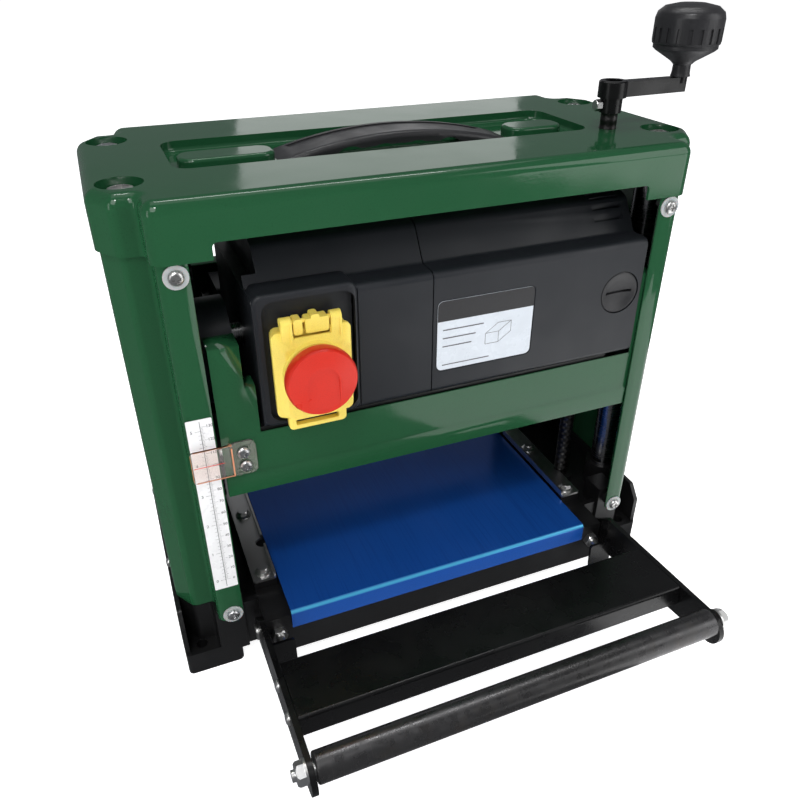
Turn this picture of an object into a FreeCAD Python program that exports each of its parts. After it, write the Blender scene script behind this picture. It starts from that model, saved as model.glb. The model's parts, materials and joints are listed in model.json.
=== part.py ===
"""Benchtop thickness planer, modelled as the separate pieces it is assembled from.

Units are millimetres. +X is the operator's right, +Y runs from the infeed side to the
outfeed side and +Z is up. The origin is on the floor, at the centre of the four foot holes.
The pieces are written one file each to parts/, in their assembled positions.
"""
import FreeCAD
import Part
import math
import os

# ---------------------------------------------------------------- driving dimensions
SHEET = 2.0                 # thickness of the formed steel covers
GAP = 0.3                   # free air between pieces that pass each other
RUNNING = 0.05              # radial clearance of a running fit

BED_TOP = 60.6              # height of the sheet that the board slides on
BED_HALF_X = 127.5
BED_HALF_Y = 114.8
BED_LIP = 16.3
RAIL_SCREWS = (-69.5, 3.5, 69.5)    # along Y on the left rail, mirrored on the right
CUT_HEIGHT = 100.0          # board thickness that the machine is set to as modelled

SKIRT_X = 206.3             # outer face of the base

COLUMN_X = 186.0
COLUMN_Y = 55.0
COLUMN_R = 11.0
COLUMN_TOP = 359.0

SCREW_X = 151.0             # lead screws, on one diagonal of the machine
SCREW_Y = 41.0
SCREW_R = 6.0

FLANGE_Y = 100.0            # outer face of the side covers' front and rear flanges
FLANGE_IN = 160.0           # inner edge of those flanges
FLANGE_OUT = 178.0
LOBE_Y = 78.0
LOBE_X = 204.0
COVER_LOW = 55.0
COVER_HIGH = 335.0
COVER_SCREW_Z = (61.0, 325.5)
TOP_Z = 368.0               # top of the top cover
TROUGH_Z = 361.0            # floor of the recess round the carry handle

CUTTER_R = 24.0             # radius of the circle that the knives cut
CUTTER_Z = BED_TOP + CUT_HEIGHT + CUTTER_R
FEED_Y = 45.0
FEED_R = 15.0
FEED_Z = BED_TOP + CUT_HEIGHT - 1.0 + FEED_R
ROD_Y = -84.0
ROD_Z = 186.0

MOTOR_Y = -50.0
MOTOR_Z = 262.5
MOTOR_PULLEY_R = 18.0
CUTTER_PULLEY_R = 14.0
SIDE_PLATE = 130.5          # inner face of the carriage's side plates
PANEL_Y = 97.0              # outer face of the carriage's front and rear panels
DECK_Z = 209.5

FASCIA_Y = -98.0
FASCIA_LOW = 214.0
FASCIA_LEFT = -128.0
FASCIA_RIGHT = 157.0
FASCIA_SEAM = -10.0
HOUSING_TOP = 331.0
CAP_X = 138.8               # middle of the motor's brush cap
CAP_Z = 264.8

PIVOT_Y = 103.0             # hinge line of each extension table
PIVOT_Z = 38.0
TABLE_TILT = 4.0            # degrees that the extension tables rise outward
TABLE_ARM_X = 148.0
TABLE_TOP = 24.5            # plate height above the hinge line
TABLE_IN = 58.3
TABLE_OUT = 108.9
BAR_OUT = 141.0
BAR_UP = 18.5
BAR_R = 9.8

SWITCH_X = -94.0            # middle of the safety switch
STOP_Z = 254.0
START_Z = 234.0
FLAP_PIN_Y = -101.5
FLAP_PIN_Z = 287.5

CRANK_Z = 389.0
KNOB_X = 209.0
KNOB_Y = -40.0
PORT_R = 31.5               # outside radius of the chip outlet
FOOT_HOLE = (193.0, 82.0, 4.25)

X_AXIS = FreeCAD.Vector(1, 0, 0)
Y_AXIS = FreeCAD.Vector(0, 1, 0)
Z_AXIS = FreeCAD.Vector(0, 0, 1)
SET_SCREW_OUT = FreeCAD.Vector(-0.995, 0.0999, 0)


# ---------------------------------------------------------------- shape helpers
def vec(x, y, z):
    return FreeCAD.Vector(x, y, z)


def box(x0, x1, y0, y1, z0, z1):
    return Part.makeBox(x1 - x0, y1 - y0, z1 - z0, vec(x0, y0, z0))


def rod(r, start, length, axis=Z_AXIS):
    return Part.makeCylinder(r, length, start, axis)


def ring(r_out, r_in, start, length, axis=Z_AXIS):
    return rod(r_out, start, length, axis).cut(rod(r_in, start, length, axis))


def join(shapes):
    """One solid from touching or overlapping pieces."""
    first, *rest = shapes
    return first.fuse(rest).removeSplitter() if rest else first


def group(shapes):
    return Part.makeCompound(shapes)


def mirror_x(shape):
    return shape.mirror(vec(0, 0, 0), X_AXIS)


def mirror_y(shape):
    return shape.mirror(vec(0, 0, 0), Y_AXIS)


def corners(maker):
    """maker(sx, sy) once for each corner of the machine."""
    return [maker(sx, sy) for sx in (-1, 1) for sy in (-1, 1)]


def rounded_wire(points, radii):
    """A closed wire through 3-D points, each corner rounded by its radius (0 keeps it sharp)."""
    edges = []
    starts = []
    ends = []
    arcs = []
    n = len(points)
    for i, (p, r) in enumerate(zip(points, radii)):
        a = (points[i - 1] - p).normalize()
        b = (points[(i + 1) % n] - p).normalize()
        if r == 0:
            starts.append(p)
            ends.append(p)
            arcs.append(None)
            continue
        half = a.getAngle(b) / 2
        back = r / math.tan(half)
        middle = p + (a + b).normalize() * (r / math.sin(half) - r)
        starts.append(p + a * back)
        ends.append(p + b * back)
        arcs.append(Part.Arc(starts[-1], middle, ends[-1]).toShape())
    for i in range(n):
        if arcs[i]:
            edges.append(arcs[i])
        following = starts[(i + 1) % n]
        if (ends[i] - following).Length > 1e-6:
            edges.append(Part.makeLine(ends[i], following))
    return Part.Wire(edges)


def prism_z(points, radii, z0, z1):
    """A plan outline of (x, y) corners, extruded from z0 to z1."""
    wire = rounded_wire([vec(x, y, z0) for x, y in points], radii)
    return Part.Face(wire).extrude(vec(0, 0, z1 - z0))


def prism_x(points, radii, x0, x1):
    """A side profile of (y, z) corners, extruded from x0 to x1."""
    wire = rounded_wire([vec(x0, y, z) for y, z in points], radii)
    return Part.Face(wire).extrude(vec(x1 - x0, 0, 0))


def prism_y(points, radii, y0, y1):
    """A front outline of (x, z) corners, extruded from y0 to y1."""
    wire = rounded_wire([vec(x, y0, z) for x, z in points], radii)
    return Part.Face(wire).extrude(vec(0, y1 - y0, 0))


def rect(a0, a1, b0, b1):
    return [(a0, b0), (a1, b0), (a1, b1), (a0, b1)]


def plate_y(x0, x1, z0, z1, r, y0, y1):
    """A plate facing along Y, with rounded corners."""
    return prism_y(rect(x0, x1, z0, z1), [r] * 4, y0, y1)


def plate_z(x0, x1, y0, y1, r, z0, z1):
    """A plate facing up, with rounded corners."""
    return prism_z(rect(x0, x1, y0, y1), [r] * 4, z0, z1)


def offset(points, d):
    """A closed outline grown outward by d (counter-clockwise corners)."""
    grown = []
    n = len(points)
    for i in range(n):
        (ax, ay), (bx, by), (cx, cy) = points[i - 1], points[i], points[(i + 1) % n]
        u = vec(bx - ax, by - ay, 0).normalize()
        v = vec(cx - bx, cy - by, 0).normalize()
        nu = vec(u.y, -u.x, 0)
        nv = vec(v.y, -v.x, 0)
        shift = (nu + nv) * (d / (1 + nu.dot(nv)))
        grown.append((bx + shift.x, by + shift.y))
    return grown


def hull(a, ra, b, rb, start, length):
    """The convex outline round two circles a and b, given as (first, second) plane coordinates.

    start picks the plane: ("x", x0) uses (y, z) coordinates, ("z", z0) uses (x, y).
    """
    dx, dy = b[0] - a[0], b[1] - a[1]
    span = math.hypot(dx, dy)
    heading = math.atan2(dy, dx)
    lean = math.acos((ra - rb) / span)
    plane, at = start

    def place(c, r, angle):
        p, q = c[0] + r * math.cos(angle), c[1] + r * math.sin(angle)
        return vec(at, p, q) if plane == "x" else vec(p, q, at)

    up, down = heading + lean, heading - lean
    far = heading + math.pi
    wire = Part.Wire([
        Part.makeLine(place(a, ra, down), place(b, rb, down)),
        Part.Arc(place(b, rb, down), place(b, rb, heading), place(b, rb, up)).toShape(),
        Part.makeLine(place(b, rb, up), place(a, ra, up)),
        Part.Arc(place(a, ra, up), place(a, ra, far), place(a, ra, down)).toShape(),
    ])
    return Part.Face(wire).extrude((X_AXIS if plane == "x" else Z_AXIS) * length)


def turned(profile, base, axis=Z_AXIS):
    """A solid of revolution from (radius, height) corners."""
    wire = Part.makePolygon([vec(r, 0, h) for r, h in profile + profile[:1]])
    solid = Part.Face(wire).revolve(vec(0, 0, 0), Z_AXIS, 360)
    solid.Placement = FreeCAD.Placement(base, FreeCAD.Rotation(Z_AXIS, axis))
    return solid


def hexagon(across, start, height, axis=Z_AXIS):
    r = across / math.sqrt(3)
    points = [vec(r * math.cos(math.radians(60 * i)), r * math.sin(math.radians(60 * i)), 0)
              for i in range(7)]
    solid = Part.Face(Part.makePolygon(points)).extrude(vec(0, 0, height))
    cone = turned([(0, 0), (r, 0), (r, height * 0.75), (r * 0.86, height), (0, height)], vec(0, 0, 0))
    solid = solid.common(cone)
    solid.Placement = FreeCAD.Placement(start, FreeCAD.Rotation(Z_AXIS, axis))
    return solid


def pan_screw(r_head, h_head, r_shank, l_shank, at, out):
    """A cross-recessed pan-head screw seated at a point; out is the way its head faces."""
    screw = turned([(0, -l_shank), (r_shank, -l_shank), (r_shank, 0), (r_head, 0),
                    (r_head, h_head * 0.35), (r_head * 0.78, h_head * 0.8),
                    (r_head * 0.45, h_head), (0, h_head)], vec(0, 0, 0))
    arm, width, deep = r_head * 0.55, r_head * 0.16, h_head * 0.55
    cross = [Part.makeBox(2 * a, 2 * b, deep, vec(-a, -b, h_head - deep))
             for a, b in ((arm, width), (width, arm))]
    screw = screw.cut(join(cross))
    screw.Placement = FreeCAD.Placement(at, FreeCAD.Rotation(Z_AXIS, out))
    return screw


def edges_where(shape, test):
    return [e for e in shape.Edges if test(e.BoundBox, e)]


def tilt_table(shape):
    """Swing an infeed-table piece from level to the angle it rests at."""
    turned_shape = shape.copy()
    turned_shape.rotate(vec(0, -PIVOT_Y, PIVOT_Z), X_AXIS, -TABLE_TILT)
    return turned_shape


# ---------------------------------------------------------------- base and bed
def wing_outline():
    """Right-hand wing of the base, under one side cover."""
    half = [(147, -88), (158, -88), (158, -91), (180, -91), (180, -LOBE_Y), (193, -LOBE_Y),
            (LOBE_X + 0.5, -60)]
    return half + [(x, -y) for x, y in reversed(half)]


def make_base_casting():
    wing_radii = [0, 0, 1, 1, 3, 5, 8, 8, 5, 3, 1, 1, 0, 0]
    centre = box(-147, 147, -112, 112, 18, 55)
    centre = centre.cut(box(-141, 141, -105, 105, 0, 49))
    raised = box(-126, 126, -112, 112, 54, BED_TOP - SHEET)
    raised = raised.cut(box(-112, 112, -98, 98, 53, 70))
    middle_ribs = [box(-112, 112, y - 4, y + 4, 49, BED_TOP - SHEET) for y in (-34, 34)]
    wing = prism_z(wing_outline(), wing_radii, 13, 56.5)
    wing = wing.cut(prism_z(offset(wing_outline(), -5), [0] * 14, 0, 45))
    tray = prism_z(offset(wing_outline(), -5), [0] * 14, 50, 60)
    wing = wing.cut(tray.fuse(box(140, 158, -83, 83, 50, 60)))
    skirt = prism_x([(-88, 0), (88, 0), (88, 44), (78, 56.5), (-78, 56.5), (-88, 44)],
                    [2, 2, 3, 3, 3, 3], SKIRT_X - 3.5, SKIRT_X)
    wing = wing.fuse(skirt)
    wings = [wing, mirror_x(wing)]

    def leg(sx, sy):
        foot = plate_z(163.7, SKIRT_X, -91, -50, 4, 0, 20)
        foot = foot.cut(box(169, 179, -86, -55, -1, 15)).cut(box(185, 202, -71, -55, -1, 15))
        hole_x, hole_y, hole_r = FOOT_HOLE
        foot = foot.cut(rod(hole_r, vec(hole_x, -hole_y, -1), 30))
        socket = rod(14.8, vec(COLUMN_X, -COLUMN_Y, 12), 62)
        post = box(158.5, 175.7, -91, -70, 45, 71)
        screw_boss = rod(5.3, vec(167.6, -98, 61), 10, Y_AXIS)
        piece = join([foot, socket, post, screw_boss])
        piece = piece if sx > 0 else mirror_x(piece)
        return piece if sy < 0 else mirror_y(piece)

    bearings = [rod(11, vec(s * SCREW_X, -s * SCREW_Y, 32), 27) for s in (-1, 1)]
    pads = [box(min(s * 129, s * 147), max(s * 129, s * 147), y - 8, y + 8, 54, 62)
            for s in (-1, 1) for y in (-s * y0 for y0 in RAIL_SCREWS)]
    body = join([centre, raised, *middle_ribs, *wings, *corners(leg), *bearings, *pads])

    for sx in (-1, 1):
        for sy in (-1, 1):
            body = body.cut(rod(COLUMN_R + RUNNING, vec(sx * COLUMN_X, sy * COLUMN_Y, 16), 80))
            body = body.cut(rod(2.55, vec(sx * 167.6, sy * 99, 61), 20, Y_AXIS * -sy))
            body = body.cut(rod(4.0, vec(sx * 140, sy * PIVOT_Y, PIVOT_Z), 8, X_AXIS * sx))
            body = body.cut(rod(3.5, vec(sx * 138, sy * 104, 40), 9, Y_AXIS * sy))
    for s in (-1, 1):
        body = body.cut(rod(SCREW_R - 1 + RUNNING, vec(s * SCREW_X, -s * SCREW_Y, 30), 30))
        for y in RAIL_SCREWS:
            body = body.cut(rod(2.5, vec(s * 138, -s * y, 50), 13))
    chain_way = hull((-SCREW_X, SCREW_Y), 20, (SCREW_X, -SCREW_Y), 20, ("z", 16), 16)
    return body.cut(chain_way)


def make_bed_plate():
    outer = prism_x([(-BED_HALF_Y, BED_TOP - BED_LIP), (-BED_HALF_Y, BED_TOP), (BED_HALF_Y, BED_TOP),
                     (BED_HALF_Y, BED_TOP - BED_LIP)], [0, 3, 3, 0], -BED_HALF_X, BED_HALF_X)
    inner_y = BED_HALF_Y - SHEET
    inner = prism_x([(-inner_y, 0), (-inner_y, BED_TOP - SHEET), (inner_y, BED_TOP - SHEET),
                     (inner_y, 0)], [0, 1, 1, 0], -BED_HALF_X, BED_HALF_X)
    return outer.cut(inner)


def make_side_rail():
    """Right-hand zinc strip that holds the bed sheet's edge. Half a turn gives the left one."""
    strip = plate_z(129.2, 147, -78, 78, 2, 62, 64)
    lip = box(129.2, 130.7, -76, 76, 63, 67.5)
    rail = join([strip, lip])
    rail = rail.cut(rod(SCREW_R + GAP, vec(SCREW_X, -SCREW_Y, 60), 10))
    rail = rail.cut(rod(5.5, vec(130.5, 36, 60), 10))
    for y in RAIL_SCREWS:
        rail = rail.cut(rod(2.6, vec(138, -y, 60), 6))
    return rail


def make_rail_screws():
    screws = []
    for s in (-1, 1):
        for y in RAIL_SCREWS:
            at = vec(s * 138, -s * y, 64)
            screws.append(join([
                turned([(0, 0), (6.2, 0), (6.2, 0.8), (4.6, 1.6), (0, 1.6)], at),
                hexagon(8, at + Z_AXIS, 4.2),
                rod(2.5, at - Z_AXIS * 12, 12.5),
            ]))
    return group(screws)


# ---------------------------------------------------------------- columns, covers and handle
def make_column(sx, sy):
    column = turned([(0, 17), (COLUMN_R, 17), (COLUMN_R, COLUMN_TOP - 1),
                     (COLUMN_R - 1, COLUMN_TOP), (0, COLUMN_TOP)],
                    vec(sx * COLUMN_X, sy * COLUMN_Y, 0))
    return column.cut(rod(3, vec(sx * COLUMN_X, sy * COLUMN_Y, 340), 20))


def cover_outline():
    """Outline that the side covers follow, as seen from above, right-hand half."""
    half = [(FLANGE_IN, -FLANGE_Y), (FLANGE_OUT, -FLANGE_Y), (FLANGE_OUT, -LOBE_Y), (193, -LOBE_Y),
            (LOBE_X, -61)]
    return half + [(x, -y) for x, y in reversed(half)]


def make_side_cover():
    radii = [0, 7, 3, 6, 8, 8, 6, 3, 7, 0]
    inner_radii = [0, 3, 5, 4, 6, 6, 4, 5, 3, 0]
    wall = offset(cover_outline(), -SHEET)
    inner = [(FLANGE_IN - 5, wall[0][1])] + wall[1:-1] + [(FLANGE_IN - 5, wall[-1][1])]
    cover = prism_z(cover_outline(), radii, COVER_LOW, COVER_HIGH)
    cover = cover.cut(prism_z(inner, inner_radii, COVER_LOW, COVER_HIGH))
    cover = cover.cut(box(FLANGE_OUT - 2.5, 210, -91.5, 91.5, 50, 57))
    for sy in (-1, 1):
        for z in COVER_SCREW_Z:
            cover = cover.cut(rod(2.6, vec(167.6, sy * 95, z), 10, Y_AXIS * sy))
    for y in (-40, 55):
        cover = cover.cut(rod(1.8, vec(200, y, 72), 10, X_AXIS))
    flange_ends = edges_where(cover, lambda b, e: b.XLength < 0.01 and b.ZLength < 0.01
                              and b.YLength < SHEET + 0.1 and abs(b.XMin - FLANGE_IN) < 0.01)
    return cover.makeFillet(5, flange_ends)


def top_outline(grow):
    """The whole plan outline of the top cover, grown past the side covers."""
    right = [(x, y) for x, y in cover_outline() if x > FLANGE_IN + 1]
    left = [(-x, -y) for x, y in right]
    return offset(right + left, grow)


def make_top_cover():
    radii = [9, 4, 8, 10, 10, 8, 4, 9] * 2
    outer = prism_z(top_outline(SHEET + GAP), radii, COVER_HIGH - 2, TOP_Z)
    rim = edges_where(outer, lambda b, e: b.ZMin > TOP_Z - 0.01)
    outer = outer.makeFillet(8, rim)
    inner = prism_z(top_outline(GAP), [7, 6, 6, 8, 8, 6, 6, 7] * 2, COVER_HIGH - 10, TOP_Z - SHEET)
    inner = inner.makeFillet(5.5, edges_where(inner, lambda b, e: b.ZMin > TOP_Z - SHEET - 0.01))
    shell = outer.cut(inner)

    trough = plate_z(-156, 141, -41, 40, 14, TROUGH_Z - SHEET, TOP_Z - SHEET + 0.5)
    pocket = plate_z(-62, 62, -38, 37, 8, 354, TROUGH_Z)
    bosses = corners(lambda sx, sy: rod(16, vec(sx * COLUMN_X, sy * COLUMN_Y, TROUGH_Z - SHEET),
                                        TOP_Z - SHEET - TROUGH_Z + SHEET + 0.5))
    cover = join([shell, trough, pocket, *bosses])
    sink = plate_z(-154, 139, -39, 38, 12, TROUGH_Z, TOP_Z + 5)
    rim = edges_where(sink, lambda b, e: b.ZMax < TROUGH_Z + 0.01)
    cover = cover.cut(sink.makeFillet(3, rim))
    cover = cover.cut(plate_z(-60, 60, -36, 35, 6, 356, TROUGH_Z + 1))
    for x0, x1 in ((-148, -86), (86, 130)):
        island = plate_z(x0, x1, -19, 6, 10, TROUGH_Z - 0.5, TOP_Z)
        top_rim = edges_where(island, lambda b, e: b.ZMin > TOP_Z - 0.01)
        cover = cover.fuse(island.makeFillet(2.5, top_rim))
    for sx in (-1, 1):
        for sy in (-1, 1):
            at = vec(sx * COLUMN_X, sy * COLUMN_Y, TROUGH_Z)
            cover = cover.cut(rod(13.5, at, 20))
            cover = cover.cut(rod(3.2, at - vec(0, 0, 5), 10))
    for y0, y1 in ((-104, -98), (98, 104)):
        arch = plate_y(-146, 146, 320, 343, 3, y0, y1)
        cover = cover.cut(arch)
    cover = cover.cut(rod(SCREW_R + GAP, vec(SCREW_X, -SCREW_Y, 350), 30))
    return cover.removeSplitter()


def make_top_screws():
    return group(corners(lambda sx, sy: pan_screw(
        9.5, 5, 3, 18, vec(sx * COLUMN_X, sy * COLUMN_Y, TROUGH_Z), Z_AXIS)))


def make_cover_screws():
    screws = []
    for sx in (-1, 1):
        for sy in (-1, 1):
            for z in COVER_SCREW_Z:
                at = vec(sx * 167.6, sy * (FLANGE_Y + 1), z)
                screws.append(pan_screw(4.6, 3, 2.5, 12, at, Y_AXIS * sy))
        for y in (-40, 55):
            screws.append(pan_screw(3.6, 2.4, 1.7, 2.8, vec(sx * LOBE_X, y, 72), X_AXIS * sx))
    return group(screws)


def make_cover_washers():
    washers = []
    for sx in (-1, 1):
        for sy in (-1, 1):
            for z in COVER_SCREW_Z:
                at = vec(sx * 167.6, sy * FLANGE_Y, z)
                washers.append(ring(7.3, 2.7, at, 1.0, Y_AXIS * sy))
    return group(washers)


def make_carry_handle():
    def bow(half, z_end, z_mid, y0, y1):
        a, m, b = vec(-half, y0, z_end), vec(0, y0, z_mid), vec(half, y0, z_end)
        wire = Part.Wire([Part.Arc(a, m, b).toShape(), Part.makeLine(b, a)])
        return Part.Face(wire).extrude(vec(0, y1 - y0, 0))

    handle = bow(85, TROUGH_Z, 373.5, -19, 19)
    handle = handle.makeFillet(4, edges_where(handle, lambda b, e: b.XLength > 150 and b.ZMax > 368))
    handle = handle.cut(bow(64, TROUGH_Z - 0.1, 366, -20, 20))
    for x in (-36, -12, 12, 36):
        handle = handle.cut(rod(14, vec(x, -20, 352.8), 40, Y_AXIS))
    lens = bow(96, TROUGH_Z + 3, 375, -12, 12).cut(bow(82, TROUGH_Z, 372.7, -12, 12))
    return handle.cut(lens)


def make_scale_strip():
    return plate_y(-177, -160.8, 88.5, 232, 0.8, -FLANGE_Y - 0.4, -FLANGE_Y)


# ---------------------------------------------------------------- height drive
def make_lead_screw(x, y, top):
    profile = [(0, 20), (5, 20), (5, 59.4), (SCREW_R, 59.4), (SCREW_R, top - 1), (SCREW_R - 1, top),
               (0, top)]
    screw = turned(profile, vec(x, y, 0))
    teeth = 16
    wheel = ring(14.4, 4, vec(x, y, 22), 5)
    for i in range(teeth):
        angle = 2 * math.pi * i / teeth
        wheel = wheel.cut(rod(1.6, vec(x + 15 * math.cos(angle), y + 15 * math.sin(angle), 21), 8))
    return join([screw, wheel])


def make_height_chain():
    left, right = (-SCREW_X, SCREW_Y), (SCREW_X, -SCREW_Y)
    outer = hull(left, 17.6, right, 17.6, ("z", 22), 5)
    return outer.cut(hull(left, 14.8, right, 14.8, ("z", 22), 5))


def make_crank_arm():
    at = vec(SCREW_X, -SCREW_Y, 0)
    hub = turned([(0, 379), (7.8, 379), (7.8, CRANK_Z), (10, CRANK_Z), (10, 399.2), (9.2, 400),
                  (0, 400)], at)
    arm = prism_z([(SCREW_X, -SCREW_Y - 5.5), (KNOB_X + 1, KNOB_Y - 4), (KNOB_X + 5, KNOB_Y - 4),
                   (KNOB_X + 5, KNOB_Y + 4), (KNOB_X + 1, KNOB_Y + 4), (SCREW_X, -SCREW_Y + 5.5)],
                  [0, 0, 2.5, 2.5, 0, 0], CRANK_Z, 399)
    spindle = rod(5, vec(KNOB_X, KNOB_Y, 395), 38)
    crank = join([hub, arm, spindle])
    crank = crank.cut(rod(SCREW_R, vec(SCREW_X, -SCREW_Y, 370), 31))
    set_hole = vec(SCREW_X, -SCREW_Y, 384)
    return crank.cut(rod(2.5, set_hole, 12, SET_SCREW_OUT))


def make_crank_set_screw():
    axis = vec(SCREW_X, -SCREW_Y, 384)
    shank = rod(2.45, axis + SET_SCREW_OUT * 6.1, 2.5, SET_SCREW_OUT)
    return join([shank, hexagon(7, axis + SET_SCREW_OUT * 8.2, 4.4, SET_SCREW_OUT)])


def make_crank_knob():
    profile = [(5 + RUNNING, 399.4), (7, 399.4), (6.4, 401.5), (6.2, 407), (9, 409.6), (20.5, 416.4),
               (22.3, 418), (22.3, 420.4), (23.2, 421), (23.6, 423), (23.6, 437), (22.4, 441),
               (18, 444.5), (9, 446.4), (0, 446.8), (0, 434), (5 + RUNNING, 434)]
    knob = turned(profile, vec(KNOB_X, KNOB_Y, 0))
    slots = []
    for i in range(20):
        slot = box(22.5, 25, -1.3, 1.3, 422, 431.5)
        slot.rotate(vec(0, 0, 0), Z_AXIS, 18 * i)
        slot.translate(vec(KNOB_X, KNOB_Y, 0))
        slots.append(slot)
    return knob.cut(group(slots))


# ---------------------------------------------------------------- carriage
def make_carriage_casting():
    def side(s):
        x0, x1 = sorted((s * SIDE_PLATE, s * (SIDE_PLATE + 6.5)))
        plate = prism_x([(-95, 168), (-90, 163), (90, 163), (95, 168), (95, 240), (60, 240), (26, 214),
                         (-95, 214)], [0] * 8, x0, x1)
        nut_x0, nut_x1 = sorted((s * SIDE_PLATE, s * SCREW_X))
        nut_lug = box(nut_x0, nut_x1, -s * SCREW_Y - 8, -s * SCREW_Y + 8, 182, 212)
        nut_boss = rod(11.5, vec(s * SCREW_X, -s * SCREW_Y, 182), 30)
        pieces = [plate, nut_lug, nut_boss]
        for sy in (-1, 1):
            arm_x0, arm_x1 = sorted((s * SIDE_PLATE, s * (COLUMN_X - 10)))
            arm_y0, arm_y1 = sorted((sy * 50, sy * 64))
            pieces.append(box(arm_x0, arm_x1, arm_y0, arm_y1, 182, 212))
            pieces.append(rod(15.5, vec(s * COLUMN_X, sy * COLUMN_Y, 176), 56))
        return pieces

    deck = box(-137, 137, -95, 26, DECK_Z, FASCIA_LOW - 0.4)
    body = join([deck, *side(-1), *side(1)])
    for s in (-1, 1):
        out = X_AXIS * s
        start = s * (SIDE_PLATE - 1)
        body = body.cut(rod(12.02, vec(start, 0, CUTTER_Z), 9, out))
        for y in (-FEED_Y, FEED_Y):
            body = body.cut(rod(6 + RUNNING, vec(start, y, FEED_Z), 9, out))
        body = body.cut(rod(5.02, vec(start, ROD_Y, ROD_Z), 9, out))
        body = body.cut(rod(9.02, vec(s * SCREW_X, -s * SCREW_Y, 180), 34))
        for sy in (-1, 1):
            body = body.cut(rod(13.12, vec(s * COLUMN_X, sy * COLUMN_Y, 170), 70))
    return body


def make_guide_bushes():
    bushes = []
    for sx in (-1, 1):
        for sy in (-1, 1):
            for z in (176, 214):
                at = vec(sx * COLUMN_X, sy * COLUMN_Y, z)
                bushes.append(ring(13.1, COLUMN_R + RUNNING, at, 18))
    return group(bushes)


def make_lead_nuts():
    nuts = []
    for s in (-1, 1):
        at = vec(s * SCREW_X, -s * SCREW_Y, 182)
        body = rod(9, at, 30).fuse(rod(11.5, at + vec(0, 0, 30), 3.5))
        nuts.append(body.cut(rod(SCREW_R + RUNNING, at, 34)).removeSplitter())
    return group(nuts)


def make_cutter_bearings():
    bearings = []
    for s in (-1, 1):
        start = vec(s * SIDE_PLATE, 0, CUTTER_Z)
        bearings.append(ring(12, 8 + RUNNING, start, 6.5, X_AXIS * s))
    return group(bearings)


def make_front_panel():
    y0, y1 = -PANEL_Y, -PANEL_Y + SHEET
    face = box(-157, 168, y0, y1, 166, 211)
    band = prism_x([(y0 - 1.2, 166), (y0 + 0.5, 166), (y0 + 0.5, 181.6), (y0 - 1.2, 180.2)],
                   [0, 0, 0, 0], -157, 159.4)
    left_face = plate_y(-157, -138, 200, 276, 1, y0, y1)
    left_top = box(-157, -138, y0, -79, 274.2, 276)
    left_return = box(-139.8, -138, y0, -79, 211, 276)
    low_step = box(-140, -131, y0, -82, 244.5, 246)
    low_face = box(-140, -131, y0, y1, 209, 246)
    right_riser = box(158.5, 168, y0, y1, 205, 276)
    right_top = box(158.5, 168, y0, -80, 274.2, 276)
    panel = join([face, band, left_face, left_top, left_return, low_step, low_face, right_riser,
                  right_top])
    for x, z in ((-144, 199.5), (-143.2, 188.7)):
        panel = panel.cut(rod(1.6, vec(x, y0 - 2, z), 6, Y_AXIS))
    return panel


def make_rear_panel():
    y1 = PANEL_Y
    panel = plate_y(-157, 157, 166, 262, 3, y1 - SHEET, y1)
    top = box(-154, 154, y1 - 14, y1, 260, 262)
    panel = join([panel, top])
    panel = panel.cut(rod(PORT_R + 3.5, vec(80, y1 - 4, 222), 6, Y_AXIS))
    return panel


def make_chip_hood():
    outer = prism_x([(27, 192.5), (60, 192.5), (94.5, 192.5), (94.5, 240), (80, 256), (40, 256),
                     (27, 236)], [0, 0, 3, 8, 8, 8, 0], -129, 129)
    inner = prism_x([(20, 195), (60, 195), (92, 195), (92, 239), (79, 253.5), (41, 253.5),
                     (29.5, 235.5), (29.5, 209), (20, 209)], [0] * 9, -126.5, 126.5)
    collar = rod(PORT_R + 2.5, vec(80, 90, 222), 9, Y_AXIS)
    spout = rod(PORT_R, vec(80, 90, 222), 30, Y_AXIS)
    hood = join([outer, collar, spout]).cut(inner)
    return hood.cut(rod(PORT_R - 2.5, vec(80, 85, 222), 40, Y_AXIS))


def make_motor_body():
    start = vec(-60, MOTOR_Y, MOTOR_Z)
    can = rod(37, start, 195, X_AXIS)
    fins = [ring(38, 36, start + vec(x, 0, 0), 4, X_AXIS) for x in range(20, 180, 12)]
    feet = box(-50, 120, -74, -26, FASCIA_LOW, 240)
    body = join([can, feet, *fins])
    body = body.cut(rod(33, start + vec(5, 0, 0), 185, X_AXIS))
    return body.cut(rod(6 + RUNNING, start - vec(5, 0, 0), 220, X_AXIS))


def make_motor_rotor():
    shaft = rod(6, vec(-152.5, MOTOR_Y, MOTOR_Z), 285, X_AXIS)
    armature = rod(29, vec(-35, MOTOR_Y, MOTOR_Z), 100, X_AXIS)
    commutator = rod(16, vec(75, MOTOR_Y, MOTOR_Z), 24, X_AXIS)
    fan = rod(31, vec(108, MOTOR_Y, MOTOR_Z), 10, X_AXIS)
    pulley = turned([(0, 0), (MOTOR_PULLEY_R + 3, 0), (MOTOR_PULLEY_R + 3, 1.2), (MOTOR_PULLEY_R, 1.2),
                     (MOTOR_PULLEY_R, 10.8), (MOTOR_PULLEY_R + 3, 10.8), (MOTOR_PULLEY_R + 3, 12),
                     (0, 12)], vec(-153, MOTOR_Y, MOTOR_Z), X_AXIS)
    return join([shaft, armature, commutator, fan, pulley])


def housing_profile(shrink):
    """Side profile of the motor covers, as (y, z) corners."""
    s = shrink
    return [(FASCIA_Y + s, FASCIA_LOW - (1 if s else 0)), (26 - s, FASCIA_LOW - (1 if s else 0)),
            (26 - s, 318 - s), (8 - s, HOUSING_TOP - s), (-46 + s * 0.4, HOUSING_TOP - s),
            (-66 + s, 325 - s * 0.6), (-80 + s, 303 - s), (FASCIA_Y + s, 303 - s)]


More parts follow.
